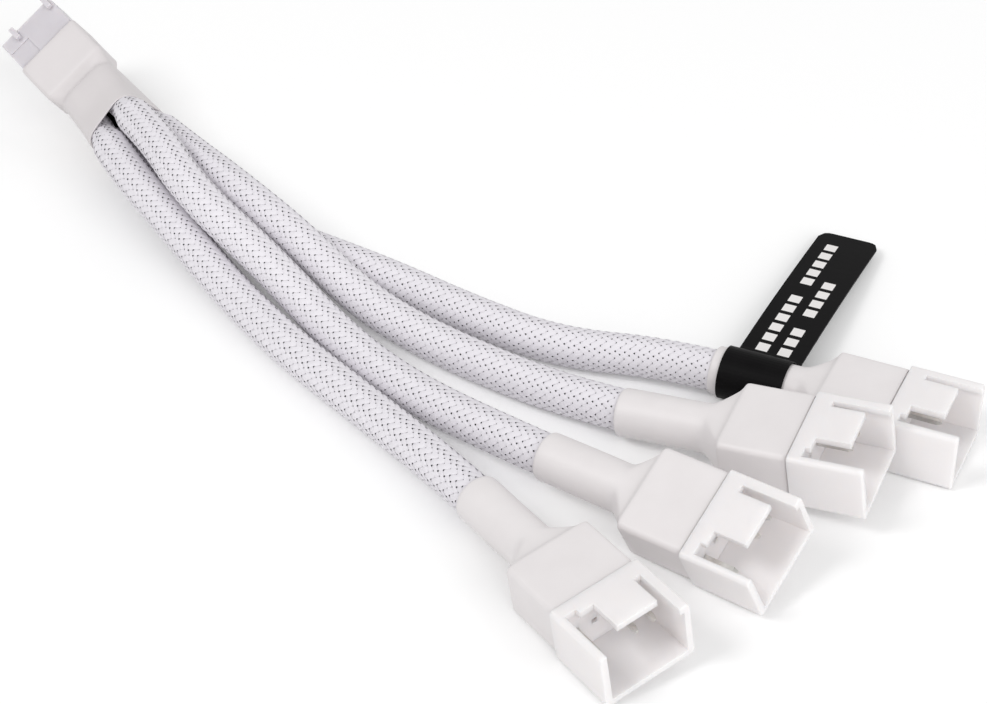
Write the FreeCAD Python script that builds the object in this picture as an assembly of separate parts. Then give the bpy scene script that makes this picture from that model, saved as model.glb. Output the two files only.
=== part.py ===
"""Sleeved fan splitter cable: one four-way plug that branches to four shrouded sockets.

Millimetres, +Z up. The cable lies on a surface at z = 0, its origin under the middle of its connectors.
Each connector has a frame of its own: u points out of its mouth, v to its left and w to its top.
"""

import FreeCAD
import Part
import math
import os
from FreeCAD import Vector

# Contacts and wires
PITCH = 2.54
WAYS = 4
PIN_SIZE = 0.64
PIN_TIP_TAPER = 0.6
WIRE_DIAMETER = 1.3
CRIMP_WALL = 0.28
CRIMP_LENGTH = 4.0
CRIMP_GRIP = 3.6
CONTACT_SIZE = 1.7
CONTACT_WALL = 0.25
FIT = 0.02
CLEARANCE = 0.05

# Socket moulding
SHROUD_WIDTH = 12.4
SHROUD_HEIGHT = 7.9
SHROUD_LENGTH = 9.4
SHROUD_WALL = 0.9
SHROUD_EDGE = 0.55
MOUTH_EDGE = 0.25
WEB_FRONT = 1.2
WEB_BACK = 0.8
KEY_BAND = 2.3
KEY_STEP = 0.7
KEY_STEP_WIDTH = 1.6
TONGUE_LEFT = 3.8
TONGUE_WIDTH = 5.6
TONGUE_LENGTH = 4.3
KEY_SLOT = 0.95
BODY_WIDTH = 11.0
BODY_HEIGHT = 6.6
BODY_LENGTH = 9.0
BODY_EDGE = 0.7
CHANNEL_WIDTH = 2.05
CHANNEL_HEIGHT = 2.7
PIN_REACH = 5.7
SOCKET_CONTACT_LENGTH = 1.9

# Plug moulding
PLUG_HEIGHT = 5.8
PLUG_LENGTH = 12.7
PLUG_EDGE = 0.35
PLUG_FRONT_WALL = 1.0
PLUG_ENTRY = 1.0
RIB_WIDTH = 0.8
RIB_HEIGHT = 0.85
RIB_LENGTH = 1.6
RIB_NOSE = 0.5
FACE_STEP = 0.15
FACE_STEP_LEFT = 1.3
FACE_STEP_SETBACK = 2.4
WINDOW_WIDTH = 1.1
WINDOW_LENGTH = 2.0
WINDOW_SETBACK = 3.2
PLUG_CONTACT_LENGTH = 6.4

# Shrink boots and sleeves
SLEEVE_DIAMETER = 5.5
SLEEVE_WALL = 0.5
GRIPPED_DIAMETER = 4.5
GRIPPED_WALL = 0.4
GRIP_LENGTH = 4.1
SWELL_LENGTH = 2.9
BUNDLE_GAP = 0.15
RIM_CLEARANCE = 0.2
FAN_LENGTH = 2.45
BOOT_WALL = 0.4
BOOT_LENGTH = 24.0
BOOT_TAPER = 3.4
BOOT_SHOW = 5.8
WAIST_WIDTH = 9.7
WAIST_HEIGHT = 6.2
WAIST_SETBACK = 2.2
RIM_LENGTH = 4.0
RIM_FLARE = 0.55
WIRE_OFFSET = 0.8

# Potted splice under the plug's boot
SPLICE_SETBACK = 1.3
SPLICE_LENGTH = 3.0
SPLICE_SIZE = 9.0
SPLICE_FRONT_HEIGHT = 2.4
SPLICE_GROUP = 2.9
SPLICE_OFFSET = 0.78
SPLICE_EDGE = 3.0

# Label folded round one neck
LABEL_WIDTH = 8.5
LABEL_LENGTH = 35.0
LABEL_THICKNESS = 0.15
LABEL_CORNER = 1.5
LABEL_SETBACK = 1.4
LABEL_DROP = 2.4

# Where the cable lies: the rim of the plug's boot, the bundle's heading and the plug's own pose
RIM = Vector(-46.4, 41.2, 6.85)
BUNDLE_HEADING = 120.0
BUNDLE_ROLL = -45.0
PLUG_HEADING = 132.0
PLUG_PITCH = 15.0
PLUG_ROLL = -36.0
KNUCKLE = 7.5
PLUG_ARM = 19.5

# Sleeve centrelines from the plug's boot to the sockets' boots, and each socket's roll
ROUTES = {
    1: [(-51.25, 43.0, 6.85), (-45.8, 31.2, 7.4), (-36.8, 19.0, 5.1), (-28.3, 6.6, 3.0),
        (-19.4, -5.6, 2.8), (-9.8, -16.6, 2.8), (1.8, -31.2, 3.7), (10.3, -43.5, 4.25)],
    2: [(-48.4, 44.65, 10.15), (-41.8, 33.5, 12.0), (-34.8, 20.2, 10.4), (-23.8, 9.2, 6.6),
        (-14.5, -2.0, 3.1), (-4.8, -13.3, 2.8), (9.2, -25.4, 4.2), (21.0, -34.5, 5.2)],
    3: [(-45.55, 46.3, 6.85), (-37.8, 35.8, 7.4), (-30.0, 24.3, 9.2), (-20.0, 13.8, 7.3),
        (-10.7, 4.1, 3.6), (0.3, -5.0, 2.8), (18.3, -16.6, 2.9), (31.7, -23.0, 4.7)],
    4: [(-48.4, 44.65, 3.55), (-41.8, 33.5, 2.8), (-30.5, 24.9, 2.8), (-18.6, 17.6, 2.8),
        (-7.5, 10.6, 2.8), (3.0, 2.8, 2.8), (15.1, -4.8, 2.8), (30.4, -7.8, 3.3), (44.0, -14.3, 3.65)],
}
SOCKET_ROLL = {1: 8.0, 2: 25.0, 3: 7.0, 4: 0.0}
SLEEVE_SETBACK = 14.0
FLAGGED = 4
ARC_SHARE = 0.45

# Circuits: the way that each one takes in a connector, and which of them reach every socket
CIRCUITS = {"ground": 0, "supply": 1, "speed": 2, "control": 3}
SHARED = ("ground", "supply", "control")
CORNERS = {"ground": (1, 1), "supply": (1, -1), "speed": (-1, -1), "control": (-1, 1)}

# Values that follow from those above
BUNDLE_PITCH = GRIPPED_DIAMETER + BUNDLE_GAP
NECK_BORE = SLEEVE_DIAMETER + 2 * CLEARANCE
NECK_DIAMETER = NECK_BORE + 2 * BOOT_WALL
CRIMP_DIAMETER = WIRE_DIAMETER + 2 * CRIMP_WALL
PLUG_WIDTH = WAYS * PITCH
OVERCUT = 1.0


def way_offset(way):
    """Place of a contact across the connector, the first way on the left."""
    return ((WAYS - 1) / 2 - way) * PITCH


def frame(origin, heading, pitch=0.0, roll=0.0):
    """Placement of a connector from its heading, nose-up pitch and left-side-up roll in degrees."""
    turn = FreeCAD.Rotation(Vector(0, 0, 1), heading)
    lift = FreeCAD.Rotation(Vector(0, 1, 0), -pitch)
    bank = FreeCAD.Rotation(Vector(1, 0, 0), roll)
    return FreeCAD.Placement(origin, turn.multiply(lift).multiply(bank))


def socket_frame(number):
    """A socket lies in line with the last run of its sleeve."""
    before, end = (Vector(*point) for point in ROUTES[number][-2:])
    along = (end - before).normalize()
    heading = math.degrees(math.atan2(along.y, along.x))
    pitch = math.degrees(math.asin(along.z))
    return frame(end + along * SLEEVE_SETBACK, heading, pitch, SOCKET_ROLL[number])


def bundle_frame():
    """The four sleeves leave the plug's boot two by two, level with the surface and on a corner."""
    return frame(RIM, BUNDLE_HEADING, 0.0, BUNDLE_ROLL)


def plug_frame():
    """The plug's nose is raised: its boot bends between the bundle and the housing."""
    knuckle = bundle_frame().multVec(Vector(KNUCKLE, 0, 0))
    aim = frame(knuckle, PLUG_HEADING, PLUG_PITCH, PLUG_ROLL)
    return frame(aim.multVec(Vector(PLUG_ARM, 0, 0)), PLUG_HEADING, PLUG_PITCH, PLUG_ROLL)


def placed(shape, placement):
    """A copy of a shape made in its connector's frame, where the connector lies."""
    copy = shape.copy()
    copy.Placement = placement.multiply(copy.Placement)
    return copy


def block(low, high):
    """Box between two corners."""
    low, high = Vector(*low), Vector(*high)
    return Part.makeBox(high.x - low.x, high.y - low.y, high.z - low.z, low)


def bar(start, end, width, height, edge):
    """Box along u with its four long edges rounded."""
    solid = block((start, -width / 2, -height / 2), (end, width / 2, height / 2))
    long_edges = [e for e in solid.Edges if abs(e.tangentAt(e.FirstParameter).x) > 0.99]
    return solid.makeFillet(edge, long_edges)


def rod(start, end, diameter, across=0.0):
    """Cylinder along u."""
    return Part.makeCylinder(diameter / 2, end - start, Vector(start, across, 0), Vector(1, 0, 0))


def rounded_outline(placement, u, width, height, radius):
    """Rounded rectangle across u: a side, then a corner, four times round from the left side."""
    radius = min(radius, 0.48 * min(width, height))
    half_v, half_w = width / 2 - radius, height / 2 - radius
    arcs = []
    for quarter, (sign_v, sign_w) in enumerate(((1, 1), (-1, 1), (-1, -1), (1, -1))):
        centre = (sign_v * half_v, sign_w * half_w)
        angles = [math.radians(90 * quarter + step) for step in (0, 45, 90)]
        arc = [Vector(u, centre[0] + radius * math.cos(a), centre[1] + radius * math.sin(a)) for a in angles]
        arcs.append([placement.multVec(point) for point in arc])
    edges = []
    for before, arc in zip(arcs[-1:] + arcs, arcs):
        edges += [Part.LineSegment(before[2], arc[0]).toShape(), Part.Arc(*arc).toShape()]
    return Part.Wire(edges)


def rounded_path(points, lead):
    """Straight runs from a lead along the first, joined by arcs as large as the runs allow, with the least radius."""
    points = [Vector(*point) for point in points]
    edges = []
    radii = []
    last = points[0] + (points[1] - points[0]).normalize() * lead
    for before, corner, after in zip(points, points[1:], points[2:]):
        into, out = corner - before, after - corner
        turn = into.getAngle(out)
        trim = ARC_SHARE * min(into.Length, out.Length)
        radius = trim / math.tan(turn / 2)
        start = corner - into.normalize() * trim
        end = corner + out.normalize() * trim
        inward = (start + end) * 0.5 - corner
        middle = corner + inward.normalize() * (radius / math.cos(turn / 2) - radius)
        edges.append(Part.LineSegment(last, start).toShape())
        edges.append(Part.Arc(start, middle, end).toShape())
        radii.append(radius)
        last = end
    edges.append(Part.LineSegment(last, points[-1]).toShape())
    return Part.Wire(edges), min(radii)


def swept_tube(points, diameter, bore=0.0, lead=0.0):
    """Round tube, or a rod where there is no bore, swept along a rounded path."""
    path, least = rounded_path(points, lead)
    along = (Vector(*points[1]) - Vector(*points[0])).normalize()
    start = Vector(*points[0]) + along * lead
    disc = Part.Face(Part.Wire(Part.Circle(start, along, diameter / 2).toShape()))
    section = disc.Area
    solid = path.makePipe(disc)
    if bore:
        hole = Part.Face(Part.Wire(Part.Circle(start, along, bore / 2).toShape()))
        solid = solid.cut(path.makePipe(hole))
        section -= hole.Area
    return solid, least, section * path.Length


def sleeve(route):
    """Sleeve that swells from where the plug's boot grips it, with its least radius and the volume to expect."""
    bore = SLEEVE_DIAMETER - 2 * SLEEVE_WALL
    gripped_bore = GRIPPED_DIAMETER - 2 * GRIPPED_WALL
    tube, least, expected = swept_tube(route, SLEEVE_DIAMETER, bore, GRIP_LENGTH + SWELL_LENGTH)
    start = Vector(*route[0])
    along = (Vector(*route[1]) - start).normalize()
    grip = Part.makeCylinder(GRIPPED_DIAMETER / 2, GRIP_LENGTH, start, along)
    grip = grip.cut(Part.makeCylinder(gripped_bore / 2, GRIP_LENGTH, start, along))
    start = start + along * GRIP_LENGTH
    swell = Part.makeCone(GRIPPED_DIAMETER / 2, SLEEVE_DIAMETER / 2, SWELL_LENGTH, start, along)
    swell = swell.cut(Part.makeCone(gripped_bore / 2, bore / 2, SWELL_LENGTH, start, along))
    return grip.fuse(swell).fuse(tube), least, expected + grip.Volume + swell.Volume


def socket_housing():
    """Shrouded moulding: an open mouth with a keyed roof, a web and a body with contact channels."""
    half_w = SHROUD_WIDTH / 2 - SHROUD_WALL
    half_h = SHROUD_HEIGHT / 2 - SHROUD_WALL
    roof = SHROUD_HEIGHT / 2 + OVERCUT
    mouth = SHROUD_LENGTH + OVERCUT
    tongue_right = TONGUE_LEFT - TONGUE_WIDTH
    tongue_end = KEY_BAND + TONGUE_LENGTH
    solid = bar(0, SHROUD_LENGTH, SHROUD_WIDTH, SHROUD_HEIGHT, SHROUD_EDGE)
    lip = [edge for edge in solid.Edges if edge.BoundBox.XMin > SHROUD_LENGTH - CLEARANCE]
    solid = solid.makeFillet(MOUTH_EDGE, lip)
    cavity = block((WEB_FRONT, -half_w, -half_h), (mouth, half_w, half_h))
    solid = solid.cut(cavity)
    solid = solid.cut(block((KEY_BAND, -half_w, 0), (mouth, tongue_right, roof)))
    solid = solid.cut(block((KEY_BAND - KEY_STEP, -half_w, 0), (mouth, -half_w + KEY_STEP_WIDTH, roof)))
    solid = solid.cut(block((KEY_BAND, TONGUE_LEFT, 0), (mouth, TONGUE_LEFT + KEY_SLOT, roof)))
    solid = solid.cut(block((tongue_end, tongue_right, 0), (mouth, TONGUE_LEFT, roof)))
    solid = solid.fuse(bar(-BODY_LENGTH, WEB_FRONT, BODY_WIDTH, BODY_HEIGHT, BODY_EDGE))
    hole = PIN_SIZE / 2 + CLEARANCE
    for way in range(WAYS):
        across = way_offset(way)
        solid = solid.cut(block((-BODY_LENGTH - OVERCUT, across - CHANNEL_WIDTH / 2, -CHANNEL_HEIGHT / 2),
                                (-WEB_BACK, across + CHANNEL_WIDTH / 2, CHANNEL_HEIGHT / 2)))
        solid = solid.cut(block((-WEB_BACK - OVERCUT, across - hole, -hole),
                                (WEB_FRONT + OVERCUT, across + hole, hole)))
    return solid.removeSplitter()


def crimp(end, across):
    """Barrel that grips a wire, closed at its front end; end is its rear face."""
    front = end + CRIMP_LENGTH
    barrel = rod(end, front, CRIMP_DIAMETER, across)
    return barrel.cut(rod(end - OVERCUT, end + CRIMP_GRIP, WIRE_DIAMETER + 2 * FIT, across))


def socket_crimp_end():
    """Rear face of a socket contact's crimp."""
    return -WEB_BACK - CLEARANCE - SOCKET_CONTACT_LENGTH - CRIMP_LENGTH


def socket_pin(way):
    """Square pin with a tapered tip, a contact body behind the web and a crimp."""
    across = way_offset(way)
    shoulder = -WEB_BACK - CLEARANCE
    half = PIN_SIZE / 2
    square = [Vector(shoulder, -half, -half), Vector(shoulder, half, -half),
              Vector(shoulder, half, half), Vector(shoulder, -half, half)]
    shank = Part.Face(Part.makePolygon(square + square[:1])).extrude(
        Vector(PIN_REACH - PIN_TIP_TAPER - shoulder, 0, 0))
    base = [Vector(PIN_REACH - PIN_TIP_TAPER, p.y, p.z) for p in square]
    tip = [Vector(PIN_REACH, p.y / 2, p.z / 2) for p in square]
    point = Part.makeLoft([Part.makePolygon(base + base[:1]), Part.makePolygon(tip + tip[:1])], True, True)
    pin = shank.fuse(point)
    pin.translate(Vector(0, across, 0))
    rear = shoulder - SOCKET_CONTACT_LENGTH
    body = block((rear, across - CONTACT_SIZE / 2, -CONTACT_SIZE / 2),
                 (shoulder, across + CONTACT_SIZE / 2, CONTACT_SIZE / 2))
    return pin.fuse(body).fuse(crimp(socket_crimp_end(), across)).removeSplitter()


def socket_boot_core(growth):
    """Body of a socket's boot grown outwards from its bore, with straight ends."""
    here = FreeCAD.Placement()
    width = BODY_WIDTH + 2 * CLEARANCE + 2 * growth
    height = BODY_HEIGHT + 2 * CLEARANCE + 2 * growth
    neck = NECK_BORE + 2 * growth
    edge = BODY_EDGE + growth
    box_end = -BODY_LENGTH - CLEARANCE
    taper_end = box_end - BOOT_TAPER
    over = 0 if growth else OVERCUT
    box = Part.makeLoft([rounded_outline(here, -CLEARANCE + over, width, height, edge),
                         rounded_outline(here, box_end, width, height, edge)], True, True)
    steps = []
    for share in (0.0, 0.12, 0.5, 0.88, 1.0):
        ease = (1 - math.cos(math.pi * share)) / 2
        steps.append(rounded_outline(here, box_end - share * BOOT_TAPER,
                                     width + (neck - width) * ease, height + (neck - height) * ease,
                                     edge + (neck / 2 - edge) * ease))
    taper = Part.makeLoft(steps, True, False)
    tube = Part.makeLoft([rounded_outline(here, taper_end, neck, neck, neck / 2),
                          rounded_outline(here, -BOOT_LENGTH - over, neck, neck, neck / 2)], True, True)
    return box.fuse(taper).fuse(tube)


def socket_boot():
    """Shrink tube over the socket's body, drawn in to grip the sleeve."""
    return socket_boot_core(BOOT_WALL).cut(socket_boot_core(0))


def plug_housing():
    """Block with four contact channels, two key ribs on top and lock windows underneath."""
    solid = bar(-PLUG_LENGTH, 0, PLUG_WIDTH, PLUG_HEIGHT, PLUG_EDGE)
    top = PLUG_HEIGHT / 2
    solid = solid.cut(block((-PLUG_LENGTH - OVERCUT, FACE_STEP_LEFT, top - FACE_STEP),
                            (-FACE_STEP_SETBACK, PLUG_WIDTH, top + OVERCUT)))
    ribs = (-TONGUE_LEFT - KEY_SLOT / 2, TONGUE_WIDTH - TONGUE_LEFT + KEY_SLOT / 2)
    for across in ribs:
        solid = solid.fuse(block((-RIB_LENGTH, across - RIB_WIDTH / 2, top - PLUG_EDGE),
                                 (RIB_NOSE, across + RIB_WIDTH / 2, top + RIB_HEIGHT)))
    for way in range(WAYS):
        across = way_offset(way)
        half = CHANNEL_WIDTH / 2
        solid = solid.cut(block((-PLUG_LENGTH - OVERCUT, across - half, -half),
                                (-PLUG_FRONT_WALL, across + half, half)))
        solid = solid.cut(block((-PLUG_FRONT_WALL - OVERCUT, across - PLUG_ENTRY / 2, -PLUG_ENTRY / 2),
                                (OVERCUT, across + PLUG_ENTRY / 2, PLUG_ENTRY / 2)))
        solid = solid.cut(block((-WINDOW_SETBACK - WINDOW_LENGTH, across - WINDOW_WIDTH / 2, -top - OVERCUT),
                                (-WINDOW_SETBACK, across + WINDOW_WIDTH / 2, -half + FIT)))
    return solid.removeSplitter()


def plug_crimp_end():
    """Rear face of a plug contact's crimp."""
    return -PLUG_FRONT_WALL - CLEARANCE - PLUG_CONTACT_LENGTH - CRIMP_LENGTH


def plug_contact(way):
    """Folded box that takes a pin, with a crimp behind it."""
    across = way_offset(way)
    front = -PLUG_FRONT_WALL - CLEARANCE
    rear = front - PLUG_CONTACT_LENGTH
    half = CONTACT_SIZE / 2
    inner = half - CONTACT_WALL
    solid = block((rear, across - half, -half), (front, across + half, half))
    solid = solid.cut(block((rear + CONTACT_WALL, across - inner, -inner),
                            (front + OVERCUT, across + inner, inner)))
    return solid.fuse(crimp(plug_crimp_end(), across)).removeSplitter()


def splice_ends():
    """Front and rear faces of the splice along the plug."""
    front = -PLUG_LENGTH - SPLICE_SETBACK
    return front, front - SPLICE_LENGTH


def plug_lead(way):
    """Short wire from a plug contact to the splice."""
    start, across = splice_ends()[0], way_offset(way)
    return rod(start, plug_crimp_end() + CRIMP_GRIP - FIT, WIRE_DIAMETER, across)


def splice():
    """Potted joint: a flat front for the row of leads that swells to the branches."""
    here = FreeCAD.Placement()
    front, rear = splice_ends()
    row = (WAYS - 1) * PITCH + WIRE_DIAMETER + 2 * CRIMP_WALL
    return Part.makeLoft([rounded_outline(here, front, row, SPLICE_FRONT_HEIGHT, SPLICE_FRONT_HEIGHT / 2),
                          rounded_outline(here, rear, SPLICE_SIZE, SPLICE_SIZE, SPLICE_EDGE)], True, True)


def plug_boot_core(growth):
    """Body of the plug's boot grown outwards from its bore, bent from the housing to the bundle."""
    plug, bundle = plug_frame(), bundle_frame()
    over = 0 if growth else OVERCUT
    width = PLUG_WIDTH + 2 * CLEARANCE + 2 * growth
    height = PLUG_HEIGHT + 2 * CLEARANCE + 2 * growth
    edge = PLUG_EDGE + growth
    bulge = SPLICE_SIZE + 2 * RIM_CLEARANCE + 2 * growth
    rim = BUNDLE_PITCH + GRIPPED_DIAMETER + 2 * RIM_CLEARANCE + 2 * growth
    rim_edge = GRIPPED_DIAMETER / 2 + RIM_CLEARANCE + growth
    grip = Part.makeLoft([rounded_outline(plug, -BOOT_SHOW + over, width, height, edge),
                          rounded_outline(plug, -PLUG_LENGTH - CLEARANCE, width, height, edge)], True, True)
    waist = rounded_outline(plug, -PLUG_LENGTH - WAIST_SETBACK, WAIST_WIDTH + 2 * growth,
                            WAIST_HEIGHT + 2 * growth, PLUG_EDGE + WAIST_SETBACK / 2 + growth)
    middle = Part.makeLoft([rounded_outline(plug, -PLUG_LENGTH - CLEARANCE, width, height, edge), waist,
                            rounded_outline(plug, splice_ends()[1], bulge, bulge, SPLICE_EDGE + growth),
                            rounded_outline(bundle, RIM_LENGTH, rim, rim, rim_edge)], True, False)
    flare = RIM_FLARE * (1 + over / RIM_LENGTH)
    opening = rim + 2 * flare
    end = Part.makeLoft([rounded_outline(bundle, RIM_LENGTH, rim, rim, rim_edge),
                         rounded_outline(bundle, -over, opening, opening, rim_edge + flare)], True, True)
    return grip.fuse(middle).fuse(end)


def plug_boot():
    """Shrink tube from the plug's housing to the bundle of sleeves."""
    return plug_boot_core(BOOT_WALL).cut(plug_boot_core(0))


def label_flag():
    """Strip wrapped round the neck, its two ends stuck together as a flag with rounded corners."""
    start = -BOOT_LENGTH + LABEL_SETBACK
    bore = NECK_DIAMETER / 2 + 2 * CLEARANCE
    outer = bore + LABEL_THICKNESS
    root = outer - LABEL_THICKNESS / 2
    tip = root + LABEL_LENGTH
    sag = LABEL_DROP / 4
    upper = [Vector(start, root, LABEL_THICKNESS),
             Vector(start, (root + tip) / 2, LABEL_THICKNESS - sag),
             Vector(start, tip, LABEL_THICKNESS - LABEL_DROP)]
    lower = [Vector(p.x, p.y, p.z - 2 * LABEL_THICKNESS) for p in upper]
    outline = Part.Wire([Part.Arc(*upper).toShape(), Part.LineSegment(upper[2], lower[2]).toShape(),
                         Part.Arc(*reversed(lower)).toShape(), Part.LineSegment(lower[0], upper[0]).toShape()])
    tab = Part.Face(outline).extrude(Vector(LABEL_WIDTH, 0, 0))
    corners = [e for e in tab.Edges
               if e.Length < 4 * LABEL_THICKNESS and e.CenterOfMass.y > tip - LABEL_THICKNESS]
    tab = tab.makeFillet(LABEL_CORNER, corners)
    loop = rod(start, start + LABEL_WIDTH, 2 * outer)
    hollow = rod(start - OVERCUT, start + LABEL_WIDTH + OVERCUT, 2 * bore)
    return loop.fuse(tab).cut(hollow)


def route_frames(number):
    """Left and up directions at each point of a sleeve's route, turning to the socket's roll at its end."""
    points = [Vector(*point) for point in ROUTES[number]]
    frames = []
    for index, point in enumerate(points):
        before = points[max(index - 1, 0)]
        after = points[min(index + 1, len(points) - 1)]
        along = (after - before).normalize()
        left = Vector(0, 0, 1).cross(along).normalize()
        share = index / (len(points) - 2)
        bank = FreeCAD.Rotation(along, SOCKET_ROLL[number] * min(share, 1.0))
        frames.append((point, bank.multVec(left), bank.multVec(along.cross(left))))
    return frames


def branch_wire(number, circuit):
    """One wire from the splice through a sleeve to its crimp in the socket."""
    plug, socket = plug_frame(), socket_frame(number)
    left_sign, up_sign = CORNERS[circuit]
    quarter = math.radians(90 * (number - 1) - PLUG_ROLL)
    rear = splice_ends()[1]
    v = SPLICE_GROUP * math.cos(quarter) - left_sign * SPLICE_OFFSET
    w = SPLICE_GROUP * math.sin(quarter) + up_sign * SPLICE_OFFSET
    points = [plug.multVec(Vector(rear, v, w)), plug.multVec(Vector(rear - WIRE_DIAMETER, v, w))]
    for point, left, up in route_frames(number):
        points.append(point + left * (left_sign * WIRE_OFFSET) + up * (up_sign * WIRE_OFFSET))
    across = way_offset(CIRCUITS[circuit])
    crimp_end = socket_crimp_end()
    points.append(socket.multVec(Vector(crimp_end - FAN_LENGTH, across, 0)))
    points.append(socket.multVec(Vector(crimp_end + CRIMP_GRIP - FIT, across, 0)))
    return swept_tube([tuple(point) for point in points], WIRE_DIAMETER)


def main():
    """Make every node and write it to its own file."""
    os.makedirs("parts", exist_ok=True)
    nodes = {}
    plug = plug_frame()
    nodes["plug_housing"] = placed(plug_housing(), plug)
    for circuit, way in CIRCUITS.items():
        nodes[f"plug_contact_{circuit}"] = placed(plug_contact(way), plug)
        nodes[f"plug_lead_{circuit}"] = placed(plug_lead(way), plug)
    nodes["plug_splice"] = placed(splice(), plug)
    nodes["plug_boot"] = plug_boot()
    housing, boot = socket_housing(), socket_boot()
    for number, route in ROUTES.items():
        socket = socket_frame(number)
        nodes[f"socket_{number}_housing"] = placed(housing, socket)
        nodes[f"socket_{number}_boot"] = placed(boot, socket)
        tube, least, expected = sleeve(route)
        nodes[f"sleeve_{number}"] = tube
        print(f"sleeve {number}: least radius {least:.1f}, volume {tube.Volume:.1f} of {expected:.1f}")
        for circuit, way in CIRCUITS.items():
            if circuit in SHARED or number == FLAGGED:
                nodes[f"socket_{number}_pin_{circuit}"] = placed(socket_pin(way), socket)
                wire, least, expected = branch_wire(number, circuit)
                nodes[f"wire_{number}_{circuit}"] = wire
                print(f"wire {number} {circuit}: least radius {least:.1f}, "
                      f"volume {wire.Volume:.1f} of {expected:.1f}")
    nodes["label_flag"] = placed(label_flag(), socket_frame(FLAGGED))
    for name, shape in nodes.items():
        print(name, "valid" if shape.isValid() else "NOT VALID", len(shape.Solids), "solid",
              [round(value, 2) for value in (shape.BoundBox.XMin, shape.BoundBox.XMax, shape.BoundBox.YMin,
                                             shape.BoundBox.YMax, shape.BoundBox.ZMin, shape.BoundBox.ZMax)])
        shape.exportStep(f"parts/{name}.step")


main()
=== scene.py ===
# %% [markdown]
# # A sleeved fan splitter cable
# The real object is a short white computer cable. One keyed plug takes a fan header, a shrink boot
# gathers four braided sleeves behind it, and each sleeve ends in a boot and an open, keyed socket. A
# black label is folded round one neck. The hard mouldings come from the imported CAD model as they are.
# Braid, boots and label are modelled here, because a weave and shrunk tube need more than a plain solid.

# %% Load the frame
import math

import bmesh
import bpy
import numpy as np
from mathutils import Matrix, Vector, noise


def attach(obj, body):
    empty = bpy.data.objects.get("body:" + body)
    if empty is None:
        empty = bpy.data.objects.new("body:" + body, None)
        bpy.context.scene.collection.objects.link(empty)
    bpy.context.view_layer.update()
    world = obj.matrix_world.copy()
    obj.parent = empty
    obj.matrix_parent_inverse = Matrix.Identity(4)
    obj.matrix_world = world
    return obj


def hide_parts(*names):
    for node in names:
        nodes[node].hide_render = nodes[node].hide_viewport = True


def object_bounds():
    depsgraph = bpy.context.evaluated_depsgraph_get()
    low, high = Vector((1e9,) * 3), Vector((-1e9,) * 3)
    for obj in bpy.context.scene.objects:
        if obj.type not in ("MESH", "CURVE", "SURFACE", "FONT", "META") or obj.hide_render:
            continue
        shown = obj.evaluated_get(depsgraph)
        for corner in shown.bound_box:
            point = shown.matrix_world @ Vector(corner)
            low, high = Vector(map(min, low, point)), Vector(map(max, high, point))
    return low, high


MM = 0.001

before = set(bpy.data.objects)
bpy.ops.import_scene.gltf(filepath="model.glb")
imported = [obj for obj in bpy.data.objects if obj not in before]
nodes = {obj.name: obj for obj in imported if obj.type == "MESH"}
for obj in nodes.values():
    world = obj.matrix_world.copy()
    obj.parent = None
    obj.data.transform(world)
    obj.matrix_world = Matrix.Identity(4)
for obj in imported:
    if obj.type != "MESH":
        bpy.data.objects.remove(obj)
cad_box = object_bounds()
scene = bpy.context.scene
scene.view_settings.view_transform = "Standard"
print("CAD nodes", len(nodes), "box", [[round(x / MM, 1) for x in corner] for corner in cad_box])

# %% [markdown]
# ## The camera
# A product photo like this one is taken from a short distance, so near sockets look larger than the
# plug. The elevation, distance and lens come from matching the known widths of the connectors in the
# picture. A camera that looks along +Y needs only one turn, about X.

# %% Camera
CAMERA_ELEVATION = math.radians(38)
CAMERA_DISTANCE = 0.298
CAMERA_AIM = Vector((0.0066, -0.0021, 0.0))
CAMERA_LENS = 82.3
SENSOR_WIDTH = 36
NEAREST_SEEN = 0.01

camera_data = bpy.data.cameras.new("camera")
camera_data.lens = CAMERA_LENS
camera_data.sensor_width = SENSOR_WIDTH
camera_data.clip_start = NEAREST_SEEN
camera = bpy.data.objects.new("camera", camera_data)
away = Vector((0, -math.cos(CAMERA_ELEVATION), math.sin(CAMERA_ELEVATION)))
camera.location = CAMERA_AIM + away * CAMERA_DISTANCE
camera.rotation_euler = (math.pi / 2 - CAMERA_ELEVATION, 0, 0)
scene.collection.objects.link(camera)
scene.camera = camera
print("camera at", [round(x, 4) for x in camera.location])

# %% [markdown]
# ## Finishes as expressions
# A finish is a small graph of nodes. Written as node calls it is hard to read, so one class wraps a
# socket and gives it Python's operators: `1 - mask` adds a Math node. Another class is the finish
# itself, with one method that adds any other node.


# %% Signals
class Signal:
    """An output socket. Arithmetic on it adds Math nodes to its finish."""

    def __init__(self, finish, socket):
        self.finish = finish
        self.socket = socket

    def math(self, operation, *others):
        values = dict(enumerate((self, *others)))
        return self.finish.node("Math", {"operation": operation}, values)

    def __add__(self, other):
        return self.math("ADD", other)

    def __mul__(self, other):
        return self.math("MULTIPLY", other)

    def __sub__(self, other):
        return self.math("SUBTRACT", other)

    def __rsub__(self, other):
        return self.finish.node("Math", {"operation": "SUBTRACT"}, {0: other, 1: self})

    def __gt__(self, other):
        return self.math("GREATER_THAN", other)

    def __lt__(self, other):
        return self.math("LESS_THAN", other)

    __radd__ = __add__
    __rmul__ = __mul__


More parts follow.
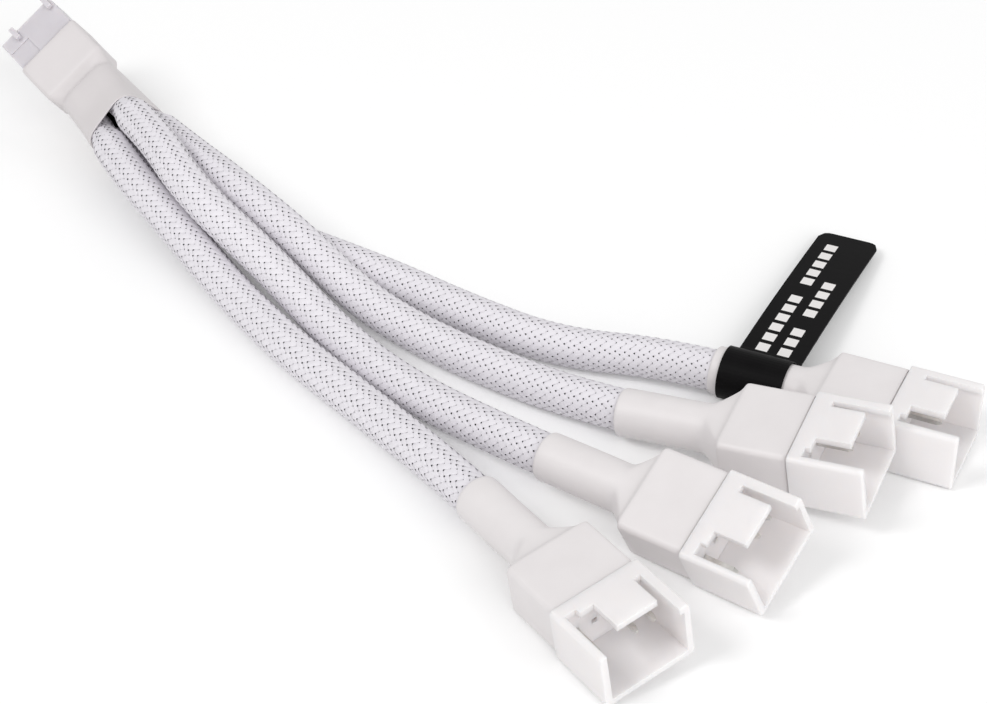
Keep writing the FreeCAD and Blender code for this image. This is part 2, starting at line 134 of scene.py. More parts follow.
# %% Finishes
class Finish:
    """A material in the making, with its Principled shader."""

    def __init__(self, name, **constants):
        self.material = bpy.data.materials.new(name)
        self.material.use_nodes = True
        self.tree = self.material.node_tree
        self.shader = self.tree.nodes["Principled BSDF"]
        self.set(**constants)

    def join(self, socket, value):
        """Link a signal into a socket, or set its value."""
        if isinstance(value, Signal):
            self.tree.links.new(value.socket, socket)
        else:
            socket.default_value = value

    def node(self, kind, settings=None, inputs=None, output=0):
        """Add a node: its settings first, then its sockets; gives one of its outputs."""
        made = self.tree.nodes.new("ShaderNode" + kind)
        for name, value in (settings or {}).items():
            setattr(made, name, value)
        for key, value in (inputs or {}).items():
            self.join(made.inputs[key], value)
        return Signal(self, made.outputs[output])

    def cloud(self, size, detail=2.0):
        """Noise on Object coordinates whose blotches are about a size across, from 0 to 1."""
        point = self.node("TexCoord", output="Object")
        return self.node("TexNoise", inputs={"Vector": point, "Scale": 1 / size, "Detail": detail})

    def tint(self, share, first, second):
        """Colour from the first to the second as the share goes from 0 to 1. Either may be a signal."""
        first, second = (end if isinstance(end, Signal) else (*end, 1) for end in (first, second))
        return self.node("Mix", {"data_type": "RGBA"}, {0: share, 6: first, 7: second}, output=2)

    def bump(self, height, depth, strength=1.0, normal=None):
        """Normal of a relief of that depth."""
        inputs = {"Height": height, "Distance": depth, "Strength": strength}
        if normal:
            inputs["Normal"] = normal
        return self.node("Bump", inputs=inputs)

    def set(self, **sockets):
        """Feed the shader."""
        for name, value in sockets.items():
            self.join(self.shader.inputs[name.replace("_", " ")], value)
        return self.material


# %% [markdown]
# ## Floor and light
# The photo has a white ground that keeps soft grey shadows beside each piece. A white floor gives both.
# The world lights everything evenly, a key lamp on the left throws the shadows up and to the right, a
# broad fill in front shines into the sockets, and a weak lamp behind lifts the far sleeve. The floor
# adds a little light of its own where it is seen, straight or in a reflection, so it reaches white
# without more light on the cable.

# %% Floor
FLOOR_ALBEDO = (0.9, 0.9, 0.9)
FLOOR_LIFT = 0.125
FLOOR_SIZE = 4
FLOOR_CLEARANCE = 0.02 * MM

floor_finish = Finish("floor_paper", Roughness=0.9, Base_Color=(*FLOOR_ALBEDO, 1))
seen = floor_finish.node("LightPath", output="Is Camera Ray")
mirrored = floor_finish.node("LightPath", output="Is Glossy Ray")
lift = floor_finish.tint(seen + mirrored, (0, 0, 0), (1, 1, 1))
floor_finish.set(Emission_Color=lift, Emission_Strength=FLOOR_LIFT)

floor_mesh = bmesh.new()
bmesh.ops.create_grid(floor_mesh, x_segments=1, y_segments=1, size=FLOOR_SIZE)
floor_height = cad_box[0][2] - FLOOR_CLEARANCE
bmesh.ops.translate(floor_mesh, verts=floor_mesh.verts, vec=(0, 0, floor_height))
floor_data = bpy.data.meshes.new("floor")
floor_mesh.to_mesh(floor_data)
floor_mesh.free()
floor_data.materials.append(floor_finish.material)
floor = bpy.data.objects.new("floor", floor_data)
scene.collection.objects.link(floor)
print("floor at", round(floor_height / MM, 3), "mm")

# %% World and lamps
WORLD_STRENGTH = 0.54

world = bpy.data.worlds.new("studio")
world.use_nodes = True
sky = world.node_tree.nodes["Background"]
sky.inputs["Color"].default_value = (1, 1, 1, 1)
sky.inputs["Strength"].default_value = WORLD_STRENGTH
scene.world = world

# Each lamp's place and size are in metres, and its power is in watts.
LAMPS = {
    "key": ((-0.55, -0.25, 0.7), 0.3, 2.5),
    "fill": ((0.5, -0.75, 0.5), 0.8, 4.7),
    "back": ((0.5, 0.6, 0.7), 0.9, 1.3),
}
for name, (spot, size, power) in LAMPS.items():
    lamp_data = bpy.data.lights.new(name, "AREA")
    lamp_data.size = size
    lamp_data.energy = power
    lamp = bpy.data.objects.new(name, lamp_data)
    lamp.location = spot
    lamp.rotation_euler = (CAMERA_AIM - Vector(spot)).to_track_quat("-Z", "Y").to_euler()
    scene.collection.objects.link(lamp)
print("lamps", list(LAMPS))

# %% [markdown]
# ## Moulded nylon
# Fan connectors are moulded in nylon. The sockets are a warm off-white with a satin skin, and the plug
# is a little cooler and glossier. The plug's colour is also darker, as painted shade for the dimmer
# light at the plug end. White nylon is milky: light enters it and comes out a little further on, so
# Subsurface softens the shading, deeper in the sockets than in the plug. A real moulding is never quite
# even either: the colour drifts slowly and the skin has a very fine grain. The Bevel node rounds the
# shading of the sharp CAD edges, as a mould's edges are.

# %% Nylon
MOULD_EDGE = 0.1 * MM
GLOW_RADIUS = (1.0, 0.95, 0.9)


def nylon(name, pale, deep, rough, glow):
    """Satin moulding: light enters to a depth, colour drifts slowly, grain is fine and edges are soft."""
    finish = Finish(
        name,
        IOR=1.53,
        Subsurface_Weight=1.0,
        Subsurface_Scale=glow,
        Subsurface_Radius=GLOW_RADIUS,
    )
    drift = finish.cloud(6 * MM)
    grain = finish.cloud(0.22 * MM, detail=3)
    rounded = finish.node("Bevel", {"samples": 6}, {"Radius": MOULD_EDGE})
    return finish.set(
        Base_Color=finish.tint(drift, deep, pale),
        Roughness=rough + (finish.cloud(1.5 * MM) - 0.5) * 0.12,
        Normal=finish.bump(grain, 0.012 * MM, 0.5, rounded),
    )


socket_nylon = nylon("socket_nylon", (0.855, 0.83, 0.832), (0.815, 0.785, 0.787), 0.42, 1.5 * MM)
# The plug's darker colour is painted shade for the dimmer light at the plug end, and its cooler tint is its
# own.
plug_nylon = nylon("plug_nylon", (0.665, 0.64, 0.67), (0.60, 0.57, 0.605), 0.34, 0.8 * MM)
print("mouldings in", socket_nylon.name, "and", plug_nylon.name)

# %% [markdown]
# ## Tin, wire and shrink tube
# Pins are drawn square wire with bright tin on it, which wears in fine clouds. The wires' jackets are
# black and slightly waxy. Shrink tube is softer than nylon and shows faint pulled waves and a few dull
# spots.


# %% Tin, wire and tube
def bright_tin():
    """Plated metal with fine cloudy wear."""
    finish = Finish("bright_tin", Metallic=1.0)
    wear = finish.cloud(0.7 * MM, detail=4)
    return finish.set(
        Base_Color=finish.tint(wear, (0.62, 0.61, 0.58), (0.86, 0.85, 0.82)),
        Roughness=0.2 + wear * 0.22,
    )


def waxy_black(name):
    """Black jacket, dull in patches."""
    finish = Finish(name)
    patches = finish.cloud(2 * MM)
    return finish.set(
        Base_Color=finish.tint(patches, (0.008, 0.008, 0.009), (0.022, 0.021, 0.022)),
        Roughness=0.35 + patches * 0.2,
        Normal=finish.bump(finish.cloud(0.3 * MM), 0.01 * MM),
    )


def shrink_tube(name, deep, pale):
    """Soft satin tube with slow tone, pulled waves and a fine skin."""
    finish = Finish(name, IOR=1.48)
    drift = finish.cloud(5 * MM, detail=3)
    skin = finish.cloud(0.35 * MM, detail=3)
    pulled = finish.cloud(2.2 * MM, detail=1)
    return finish.set(
        Base_Color=finish.tint(drift, deep, pale),
        Roughness=0.46 + (drift - 0.5) * 0.16,
        Normal=finish.bump(skin, 0.014 * MM, 0.5, finish.bump(pulled, 0.06 * MM, 0.6)),
    )


tin = bright_tin()
wire_black = waxy_black("wire_black")
potting_black = waxy_black("potting_black")
tube_white = shrink_tube("socket_tube", (0.755, 0.72, 0.722), (0.82, 0.79, 0.792))
# The plug's boot is the same white tube as the sockets', darkened as painted shade for the dimmer light at
# the plug end.
tube_painted_shade = shrink_tube("plug_tube_painted_shade", (0.665, 0.63, 0.635), (0.715, 0.68, 0.685))
print("tubes in", tube_white.name, "and", tube_painted_shade.name)

# %% [markdown]
# ## Routes of the sleeves
# Each sleeve follows the same points as its CAD tube, in millimetres. A NURBS curve of order three
# rounds the corners between them, and Blender's own evaluation of that curve gives the points that the
# braid is wrapped on.

# %% Routes
ROUTES = {
    1: [(-51.25, 43.0, 6.85), (-45.8, 31.2, 7.4), (-36.8, 19.0, 5.1), (-28.3, 6.6, 3.0),
        (-19.4, -5.6, 2.8), (-9.8, -16.6, 2.8), (1.8, -31.2, 3.7), (10.3, -43.5, 4.25)],
    2: [(-48.4, 44.65, 10.15), (-41.8, 33.5, 12.0), (-34.8, 20.2, 10.4), (-23.8, 9.2, 6.6),
        (-14.5, -2.0, 3.1), (-4.8, -13.3, 2.8), (9.2, -25.4, 4.2), (21.0, -34.5, 5.2)],
    3: [(-45.55, 46.3, 6.85), (-37.8, 35.8, 7.4), (-30.0, 24.3, 9.2), (-20.0, 13.8, 7.3),
        (-10.7, 4.1, 3.6), (0.3, -5.0, 2.8), (18.3, -16.6, 2.9), (31.7, -23.0, 4.7)],
    4: [(-48.4, 44.65, 3.55), (-41.8, 33.5, 2.8), (-30.5, 24.9, 2.8), (-18.6, 17.6, 2.8),
        (-7.5, 10.6, 2.8), (3.0, 2.8, 2.8), (15.1, -4.8, 2.8), (30.4, -7.8, 3.3), (44.0, -14.3, 3.65)],
}
SPLINE_STEPS = 24


def centreline(route):
    """Points along the smooth curve whose control points are the route's."""
    data = bpy.data.curves.new("route", "CURVE")
    data.dimensions = "3D"
    data.resolution_u = SPLINE_STEPS
    spline = data.splines.new("NURBS")
    spline.points.add(len(route) - 1)
    for control, place in zip(spline.points, route):
        control.co = (*(x * MM for x in place), 1)
    spline.order_u = 3
    spline.use_endpoint_u = True
    holder = bpy.data.objects.new("route", data)
    scene.collection.objects.link(holder)
    bpy.context.view_layer.update()
    mesh = bpy.data.meshes.new_from_object(holder)
    points = np.array([vertex.co for vertex in mesh.vertices], float)
    bpy.data.objects.remove(holder)
    bpy.data.curves.remove(data)
    bpy.data.meshes.remove(mesh)
    return points


def run_length(points):
    """Distance along the points, from zero."""
    steps = np.linalg.norm(np.diff(points, axis=0), axis=1)
    return np.concatenate([[0], np.cumsum(steps)])


lines = {number: centreline(route) for number, route in ROUTES.items()}
print("sleeve lengths in mm", {n: round(run_length(p)[-1] / MM, 1) for n, p in lines.items()})

# %% [markdown]
# ## The braid
# The sleeve is woven from flat ribbons of white monofilament, half of them winding left and half right,
# each passing over two and under two. Where the gaps between ribbons of both hands meet, a small hole
# opens, and it looks black because the wires and the shaded interior show there. That shade is painted:
# the ribbons' undersides are coloured black. So pinholes lie in pairs of rows along the sleeve. A bump
# texture would lose that at the outline, so every ribbon is real. One prism is cut twice for each
# crossing, copied beside itself at the braid's angle, waved up and down, and drawn in or spread. A
# pinch in step with the crossings closes the gaps between the holes. The flat weave is then rolled round
# the route. Two values on each vertex mark its underside, which takes the painted shade, and its place
# across the ribbon.

# %% Braid values
SLEEVE_DIAMETER = 5.5 * MM
GRIPPED_DIAMETER = 4.1 * MM
GRIP_END = 4.1 * MM
SWELL_END = 7.0 * MM
BRAID_RADIUS = 2.63 * MM
BRAID_ANGLE = math.radians(38.5)
RIBBONS = 16
RIBBON_WIDTH = 0.7 * MM
RIBBON_PINCH = 0.14
RIBBON_SPREAD = 0.27
RIBBON_THICKNESS = 0.08 * MM
WEAVE_HEIGHT = 0.05 * MM
CUTS = 2
EDGE_ANGLE = math.radians(60)
FILAMENTS = 4
FILAMENT_RELIEF = 0.012 * MM

ribbon_step = 2 * math.pi * BRAID_RADIUS / RIBBONS
crossing_step = ribbon_step / (2 * math.tan(BRAID_ANGLE))
print("crossings every", round(crossing_step / MM, 3), "mm")


# %% Braid finish
def braid_white():
    """White ribbon with a faint lilac cast, and its underside painted black as the sleeve's shaded
    interior.
    """
    finish = Finish("braid_white", IOR=1.5)
    painted_shade = finish.node("Attribute", {"attribute_name": "painted_shade"}, output="Fac")
    across = finish.node("Attribute", {"attribute_name": "across"}, output="Fac")
    streak = finish.cloud(1.2 * MM, detail=3)
    face = finish.tint(streak, (0.765, 0.74, 0.785), (0.845, 0.82, 0.86))
    filament = (across * (math.pi * FILAMENTS)).math("SINE").math("ABSOLUTE")
    # The ribbons' undersides are painted near black as painted shade of the sleeve's dark interior.
    return finish.set(
        Base_Color=finish.tint(painted_shade, face, (0.004, 0.004, 0.005)),
        Roughness=0.4 + streak * 0.2,
        Normal=finish.bump(filament, FILAMENT_RELIEF),
    )


braid_finish = braid_white()
print("braid in", braid_finish.name)


# %% Flat weave
def flat_ribbon(length):
    """One ribbon along X: a four-sided prism with one edge up, cut at and between the crossings."""
    steps = math.floor(length / crossing_step * CUTS)
    length = steps * crossing_step / CUTS
    ribbon = bmesh.new()
    painted_shade = ribbon.verts.layers.float.new("painted_shade")
    across = ribbon.verts.layers.float.new("across")
    # The prism starts one unit long and one across, with its axis on Z.
    bmesh.ops.create_cone(ribbon, cap_ends=True, segments=4, radius1=0.5, radius2=0.5, depth=1)
    long_edges = [e for e in ribbon.edges if abs(e.verts[0].co.z - e.verts[1].co.z) > 0.5]
    bmesh.ops.subdivide_edges(ribbon, edges=long_edges, cuts=steps - 1, use_grid_fill=True)
    bmesh.ops.rotate(ribbon, verts=ribbon.verts, matrix=Matrix.Rotation(math.pi / 2, 3, "Y"))
    # Vertices of the lower half take the painted shade of the sleeve's dark interior.
    for vertex in ribbon.verts:
        vertex[painted_shade] = 1.0 if vertex.co.z < -0.25 else 0.0
        vertex[across] = vertex.co.y + 0.5
    scale = (length, RIBBON_WIDTH / math.cos(BRAID_ANGLE), RIBBON_THICKNESS)
    bmesh.ops.scale(ribbon, verts=ribbon.verts, vec=scale)
    bmesh.ops.translate(ribbon, verts=ribbon.verts, vec=(length / 2, 0, 0))
    mesh = bpy.data.meshes.new("ribbon")
    ribbon.to_mesh(mesh)
    ribbon.free()
    return mesh


def flat_weave(length):
    """Ribbons both ways on a plane: X along the sleeve and Y round it."""
    ribbon = flat_ribbon(length)
    weave = bmesh.new()
    for hand in (1, -1):
        for index in range(RIBBONS):
            known = len(weave.verts)
            weave.from_mesh(ribbon)
            weave.verts.ensure_lookup_table()
            for vertex in weave.verts[known:]:
                # A ribbon goes up and down once in four crossings and is narrowest beside each hole.
                crossing = 2 * index + hand * vertex.co.x / crossing_step
                wave = math.cos(math.pi / 2 * (crossing - 0.5))
                pinch = RIBBON_PINCH * math.cos(2 * math.pi * crossing)
                vertex.co.z += hand * WEAVE_HEIGHT * wave
                vertex.co.y *= (1 - RIBBON_SPREAD * wave) * (1 - pinch)
                vertex.co.y += index * ribbon_step + hand * vertex.co.x * math.tan(BRAID_ANGLE)
    bpy.data.meshes.remove(ribbon)
    return weave


# %% [markdown]
# ## Rolling the weave round a route
# A frame that turns as little as possible travels along the curve, so the braid doesn't twist. A
# vertex's X says how far along it goes, its Y becomes an angle round the curve, and its Z stays a
# height. Near the plug the boot grips the sleeves, so there the radius is smaller and swells to the full
# one.


# %% Roll
def travelling_frames(points):
    """Two directions across the curve at each point, carried along with the least turn."""
    tangents = np.gradient(points, axis=0)
    tangents /= np.linalg.norm(tangents, axis=1)[:, None]
    side = Vector(tangents[0]).cross(Vector((0, 0, 1))).normalized()
    sides = []
    for before, here in zip(np.vstack([tangents[:1], tangents[:-1]]), tangents):
        side = Vector(before).rotation_difference(Vector(here)) @ side
        side = (side - Vector(here) * side.dot(Vector(here))).normalized()
        sides.append(side)
    sides = np.array(sides)
    return sides, np.cross(tangents, sides)


def rolled(co, points):
    """Flat coordinates carried onto the curve."""
    along = run_length(points)
    sides, ups = travelling_frames(points)
    reach = np.clip(co[:, 0], 0, along[-1])

    def at(values):
        return np.stack([np.interp(reach, along, values[:, k]) for k in range(3)], 1)

    angle = co[:, 1] / BRAID_RADIUS
    radial = at(sides) * np.cos(angle)[:, None] + at(ups) * np.sin(angle)[:, None]
    swell = np.interp(reach, [GRIP_END, SWELL_END], [GRIPPED_DIAMETER / SLEEVE_DIAMETER, 1])
    return at(points) + radial * (BRAID_RADIUS * swell + co[:, 2])[:, None]


# %% Four braids
def add_piece(name, mesh, finish, replaced=()):
    """Put a finished mesh in the scene, riding on the cable's one body."""
    mesh.materials.append(finish)
    piece = bpy.data.objects.new(name, mesh)
    scene.collection.objects.link(piece)
    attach(piece, "root")
    if replaced:
        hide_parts(*replaced)
    return piece


for number, points in lines.items():
    length = run_length(points)[-1]
    weave = flat_weave(length)
    mesh = bpy.data.meshes.new(f"braid_{number}")
    weave.to_mesh(mesh)
    weave.free()
    co = np.zeros(len(mesh.vertices) * 3)
    mesh.vertices.foreach_get("co", co)
    mesh.vertices.foreach_set("co", rolled(co.reshape(-1, 3), points).ravel())
    mesh.update()
    mesh.shade_smooth()
    mesh.set_sharp_from_angle(angle=EDGE_ANGLE)
    braid = add_piece(f"braid_{number}", mesh, braid_finish, [f"sleeve_{number}"])
    print(braid.name, "triangles", sum(len(p.vertices) - 2 for p in mesh.polygons))

# %% [markdown]
# ## Places of the connectors
# Each connector was modelled in a frame of its own: X out of its mouth, Y to its left and Z to its top.
# The boots and the label are made in the same frames and then moved, so every size below is a plain
# length in millimetres. The plug stands at an angle on the bundle, so its frame is reached over a
# knuckle.


# %% Connector frames
def connector_frame(origin, heading, pitch, roll):
    """Matrix of a connector from its heading, nose-up pitch and left-side-up roll in degrees."""
    turn = Matrix.Rotation(math.radians(heading), 4, "Z")
    lift = Matrix.Rotation(math.radians(-pitch), 4, "Y")
    bank = Matrix.Rotation(math.radians(roll), 4, "X")
    return Matrix.Translation(Vector(origin) * MM) @ turn @ lift @ bank


SOCKET_ROLL = {1: 8, 2: 25, 3: 7, 4: 0}
SLEEVE_SETBACK = 14.0


def socket_frame(number):
    """A socket lies in line with the last run of its sleeve."""
    before, end = (Vector(point) for point in ROUTES[number][-2:])
    along = (end - before).normalized()
    heading = math.degrees(math.atan2(along.y, along.x))
    pitch = math.degrees(math.asin(along.z))
    return connector_frame(end + along * SLEEVE_SETBACK, heading, pitch, SOCKET_ROLL[number])


RIM = (-46.4, 41.2, 6.85)
BUNDLE_TURNS = (120, 0, -45)
KNUCKLE_REACH = 7.5
PLUG_TURNS = (132, 15, -36)
PLUG_REACH = 19.5

bundle_frame = connector_frame(RIM, *BUNDLE_TURNS)
knuckle = bundle_frame @ Vector((KNUCKLE_REACH * MM, 0, 0)) / MM
plug_aim = connector_frame(knuckle, *PLUG_TURNS)
plug_frame = connector_frame(plug_aim @ Vector((PLUG_REACH * MM, 0, 0)) / MM, *PLUG_TURNS)
print("plug nose at", [round(x / MM, 1) for x in plug_frame.translation])

# %% [markdown]
# ## Shrink boots
# A boot is a tube that was heated until it gripped what is inside, so it is boxy over a moulding and
# round over a sleeve, with a steep shoulder between. It is drawn as rings along the connector: the first
# ring is a circle of vertices, and each further one is extruded from it and put in place. A vertex
# carries its number round the ring. Solidify gives the wall and Subdivision Surface the soft corners.

# %% Rings
QUARTER = 10
RING = 4 * QUARTER
CORNER_STEPS = 6


def soft_box(width, height, corner):
    """Ring of a rounded box: seven points round each corner and three on each side."""
    centres = [(1, 1), (-1, 1), (-1, -1), (1, -1)]
    half = (width / 2 - corner, height / 2 - corner)
    arcs = []
    for quarter, signs in enumerate(centres):
        middle = [sign * size for sign, size in zip(signs, half)]
        angles = [math.pi / 2 * (quarter + step / CORNER_STEPS) for step in range(CORNER_STEPS + 1)]
        arcs.append([(middle[0] + corner * math.cos(a), middle[1] + corner * math.sin(a)) for a in angles])
    ring = []
    sides = QUARTER - CORNER_STEPS
    for arc, following in zip(arcs, arcs[1:] + arcs[:1]):
        ring += arc
        for step in range(1, sides):
            share = step / sides
            ring.append(tuple(a + (b - a) * share for a, b in zip(arc[-1], following[0])))
    return ring


def disc(diameter):
    """Ring of a circle, its points in line with those of a box."""
    first = math.pi / 2 * (CORNER_STEPS / 2) / QUARTER
    turns = [math.pi / 4 - first + 2 * math.pi * index / RING for index in range(RING)]
    return [(diameter / 2 * math.cos(a), diameter / 2 * math.sin(a)) for a in turns]


def shoulder(first, second, sideways, upward):
    """Ring between two others, with one share for its width and another for its height."""
    return [(p[0] + (q[0] - p[0]) * sideways, p[1] + (q[1] - p[1]) * upward) for p, q in zip(first, second)]


def between(first, second, share):
    """Ring part of the way from one to another."""
    return shoulder(first, second, share, share)


def set_ring(place, along, ring):
    """Ring of points in millimetres as points in the scene."""
    return [place @ (Vector((along, *point)) * MM) for point in ring]


# %% Shells
PULL_SIZE = 4.5 * MM
PULL_DEPTH = 0.05 * MM


def shell(rings):
    """Open tube through rings of points, with a little unevenness from the shrinking."""
    tube = bmesh.new()
    turn = tube.verts.layers.int.new("turn")
    bmesh.ops.create_circle(tube, segments=RING, radius=1)
    for index, vertex in enumerate(tube.verts):
        vertex[turn] = index
    edges = list(tube.edges)
    newest = list(tube.verts)
    for ring in rings:
        if ring is not rings[0]:
            made = bmesh.ops.extrude_edge_only(tube, edges=edges)["geom"]
            newest = [g for g in made if isinstance(g, bmesh.types.BMVert)]
            new_edges = [g for g in made if isinstance(g, bmesh.types.BMEdge)]
            edges = [edge for edge in new_edges if all(v in newest for v in edge.verts)]
        middle = sum(ring, Vector()) / RING
        for vertex in newest:
            point = ring[vertex[turn]]
            outward = (point - middle).normalized()
            vertex.co = point + outward * (noise.noise(point / PULL_SIZE) - 1) * PULL_DEPTH
    bmesh.ops.recalc_face_normals(tube, faces=tube.faces)
    probe = next(iter(tube.faces))
    middle = sum(rings[0], Vector()) / RING
    if probe.normal.dot(probe.calc_center_median() - middle) < 0:
        bmesh.ops.reverse_faces(tube, faces=tube.faces)
    return tube


# %% Boots
WALL = 0.38 * MM


def add_boot(name, rings, replaced, finish):
    """Boot from its rings, with a wall and soft corners."""
    tube = shell(rings)
    mesh = bpy.data.meshes.new(name)
    tube.to_mesh(mesh)
    tube.free()
    mesh.shade_smooth()
    boot = add_piece(name, mesh, finish, [replaced])
    wall = boot.modifiers.new("wall", "SOLIDIFY")
    wall.thickness = WALL
    wall.offset = -1
    soft = boot.modifiers.new("soft", "SUBSURF")
    soft.levels = soft.render_levels = 1
    print(name, "faces", len(mesh.polygons))


# %% Socket boots
BOX = soft_box(11.8, 7.4, 0.8)
LIP = soft_box(11.45, 7.05, 0.7)
NECK = disc(6.36)
NECK_LIP = disc(6.0)

# Each ring has its place along the socket's axis, from the shroud's rear backwards.
SOCKET_BOOT_RINGS = [
    (-0.16, LIP),
    (-0.22, between(LIP, BOX, 0.8)),
    (-0.55, BOX),
    (-2.5, BOX),
    (-6.0, BOX),
    (-8.5, BOX),
    (-8.95, BOX),
    (-9.15, shoulder(BOX, NECK, 0.06, 0.25)),
    (-9.4, shoulder(BOX, NECK, 0.14, 0.7)),
    (-9.9, shoulder(BOX, NECK, 0.3, 0.9)),
    (-10.7, shoulder(BOX, NECK, 0.55, 0.97)),
    (-11.6, shoulder(BOX, NECK, 0.84, 1.0)),
    (-12.3, shoulder(BOX, NECK, 0.98, 1.0)),
    (-13.0, NECK),
    (-15.0, NECK),
    (-18.0, NECK),
    (-21.0, NECK),
    (-23.4, NECK),
    (-23.85, NECK),
    (-23.98, NECK_LIP),
]
for number in ROUTES:
    place = socket_frame(number)
    rings = [set_ring(place, along, ring) for along, ring in SOCKET_BOOT_RINGS]
    add_boot(f"boot_shell_{number}", rings, f"socket_{number}_boot", tube_white)

# %% [markdown]
# ## The plug's boot
# Behind the plug the tube shrinks to a waist, then folds outwards over the potted joint and ends in a
# rim round the four sleeves. The plug points up and away from the bundle, so its last rings belong to
# another frame.

# %% Plug boot
GRIP = soft_box(11.02, 6.66, 0.75)
GRIP_LIP = soft_box(10.7, 6.3, 0.7)

# Rings over the plug count back from its nose, and rings over the bundle count down to the rim.
PLUG_RINGS = [
    (-5.82, GRIP_LIP),
    (-5.9, between(GRIP_LIP, GRIP, 0.8)),
    (-6.2, GRIP),
    (-8.0, GRIP),
    (-10.5, GRIP),
    (-12.2, GRIP),
    (-12.75, GRIP),
    (-13.1, soft_box(10.8, 6.4, 0.9)),
    (-13.7, soft_box(10.3, 5.9, 1.2)),
    (-14.4, soft_box(9.9, 5.6, 1.6)),
    (-15.0, soft_box(9.75, 5.9, 1.9)),
    (-15.25, soft_box(9.8, 6.9, 2.4)),
    (-15.45, soft_box(9.85, 8.2, 2.8)),
    (-15.9, soft_box(9.9, 9.2, 3.0)),
    (-16.6, soft_box(9.9, 9.7, 3.1)),
]
BUNDLE_RINGS = [
    (4.6, soft_box(9.9, 9.9, 3.0)),
    (3.4, soft_box(9.95, 9.95, 2.9)),
    (1.8, soft_box(10.05, 10.05, 2.8)),
    (0.4, soft_box(10.15, 10.15, 2.8)),
    (0.12, soft_box(10.15, 10.15, 2.8)),
    (0.02, soft_box(9.9, 9.9, 2.7)),
]
rings = [set_ring(plug_frame, along, ring) for along, ring in PLUG_RINGS]
rings += [set_ring(bundle_frame, along, ring) for along, ring in BUNDLE_RINGS]
# This boot's tube carries painted shade for the dimmer light at the plug end.
add_boot("boot_shell_plug", rings, "plug_boot", tube_painted_shade)

# %% [markdown]
# ## The label
# A strip of black film is stuck round one neck, and its two ends are stuck together as a flag that
# droops a little. It is one grid of vertices: along the strip, and across its width. The rows near the
# tip are pulled in at the corners. Two rows of plain white blocks are drawn by the finish in the flag's
# own UV coordinates, because a real print lies flat in the film.

# %% Label shape
LABEL_SOCKET = 4
LABEL_WIDTH = 8.5
LABEL_START = -22.6
LABEL_LENGTH = 35.0
LABEL_DROP = 2.4
LABEL_CURL = 1.6
LABEL_CORNER = 1.5
LABEL_LOOP = 3.4
LABEL_GAP = 0.08
LOOP_OPENING = math.radians(9)
CLOSING_REACH = 1.5
FLAG_ROWS = 28
LOOP_ROWS = 44
OFF_FACE = -0.3


def flag_reach(across):
    """Length of the flag at a place across it, shorter at its rounded corners."""
    inset = LABEL_CORNER - min(across, LABEL_WIDTH - across)
    if inset <= 0:
        return LABEL_LENGTH
    return LABEL_LENGTH - LABEL_CORNER + math.sqrt(max(LABEL_CORNER ** 2 - inset ** 2, 0))


def label_point(row, across):
    """Place of a vertex beside the neck, and its share of the flag's length, below zero off the print."""
    along = LABEL_START + across
    if FLAG_ROWS <= row <= FLAG_ROWS + LOOP_ROWS:
        angle = LOOP_OPENING + (2 * math.pi - 2 * LOOP_OPENING) * (row - FLAG_ROWS) / LOOP_ROWS
        return Vector((along, LABEL_LOOP * math.cos(angle), LABEL_LOOP * math.sin(angle))), OFF_FACE
    upper = row < FLAG_ROWS
    rows_out = FLAG_ROWS - row if upper else row - FLAG_ROWS - LOOP_ROWS
    share = rows_out / FLAG_ROWS
    reach = share * flag_reach(across)
    droop = -LABEL_DROP * (reach / LABEL_LENGTH) ** LABEL_CURL
    closing = LABEL_LOOP * math.sin(LOOP_OPENING) * max(1 - reach / CLOSING_REACH, 0)
    side = LABEL_GAP + closing
    if upper:
        return Vector((along, LABEL_LOOP + reach, droop + side)), share
    return Vector((along, LABEL_LOOP + reach, droop - side)), OFF_FACE


# %% Label print
PRINT_CELLS = 14
PRINT_START = 0.3
PRINT_SPACE = 0.3
PRINT_HEIGHT = 0.19
# Each row has its place across the flag, and the first cell and the end of each group of blocks.
PRINT_ROWS = {0.32: [(1, 7), (8, 13)], 0.67: [(1, 4), (5, 9)]}


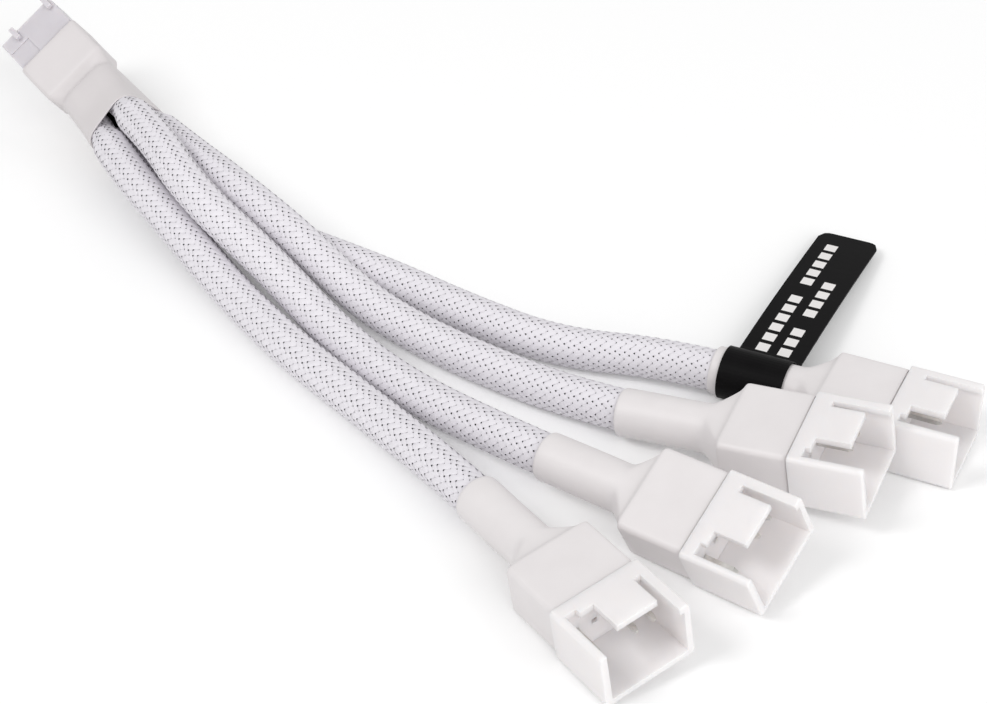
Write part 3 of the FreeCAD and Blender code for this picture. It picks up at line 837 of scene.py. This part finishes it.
def label_film():
    """Black film with a slight gloss and two rows of white blocks."""
    finish = Finish("label_film", Specular_IOR_Level=0.06)
    place = finish.node("TexCoord", output="UV")
    across = finish.node("SeparateXYZ", inputs={"Vector": place}, output="X")
    along = finish.node("SeparateXYZ", inputs={"Vector": place}, output="Y")
    cell = along * PRINT_CELLS + PRINT_START
    block = cell.math("FRACT") > PRINT_SPACE
    groups = []
    for middle, spans in PRINT_ROWS.items():
        row = ((across - middle).math("ABSOLUTE") < PRINT_HEIGHT / 2) * block
        groups += [row * (cell > first) * (cell < last) for first, last in spans]
    ink = sum(groups)
    scuff = finish.cloud(3.5 * MM, detail=4)
    film = finish.tint(scuff, (0.003, 0.0028, 0.003), (0.008, 0.0075, 0.008))
    return finish.set(
        Base_Color=finish.tint(ink, film, (0.82, 0.8, 0.79)),
        Roughness=0.38 + scuff * 0.2 + ink * 0.1,
        Normal=finish.bump(finish.cloud(1.2 * MM), 0.02 * MM),
    )


# %% Label piece
LABEL_COLUMNS = 16
LABEL_ROWS = 2 * FLAG_ROWS + LOOP_ROWS
LABEL_FILM = 0.14 * MM

strip = bmesh.new()
bmesh.ops.create_grid(strip, x_segments=LABEL_COLUMNS, y_segments=LABEL_ROWS, size=0.5, calc_uvs=True)
uv = strip.loops.layers.uv.active or strip.loops.layers.uv.new("UVMap")
label_frame = socket_frame(LABEL_SOCKET)
shares = {}
for vertex in strip.verts:
    row = round((vertex.co.y + 0.5) * LABEL_ROWS)
    across = (vertex.co.x + 0.5) * LABEL_WIDTH
    point, share = label_point(row, across)
    shares[vertex] = (across / LABEL_WIDTH, share)
    vertex.co = label_frame @ (point * MM)
for face in strip.faces:
    for loop in face.loops:
        loop[uv].uv = shares[loop.vert]
bmesh.ops.recalc_face_normals(strip, faces=strip.faces)
label_mesh = bpy.data.meshes.new("label_flag_film")
strip.to_mesh(label_mesh)
strip.free()
label = add_piece("label_flag_film", label_mesh, label_film(), ["label_flag"])
film_wall = label.modifiers.new("film", "SOLIDIFY")
film_wall.thickness = LABEL_FILM
film_wall.offset = 0
print("label faces", len(label_mesh.polygons))

# %% [markdown]
# ## Finishes of the hard parts
# The mouldings, pins and wires keep their CAD meshes and take the finishes above.

# %% Hard parts
for name, node in nodes.items():
    if name == "plug_housing":
        finish = plug_nylon
    elif name.endswith("housing"):
        finish = socket_nylon
    elif "pin" in name or "contact" in name:
        finish = tin
    elif name.endswith("boot"):
        finish = tube_white
    elif name == "plug_splice":
        finish = potting_black
    else:
        finish = wire_black
    node.data.materials.clear()
    node.data.materials.append(finish)
print("finished nodes", len(nodes))
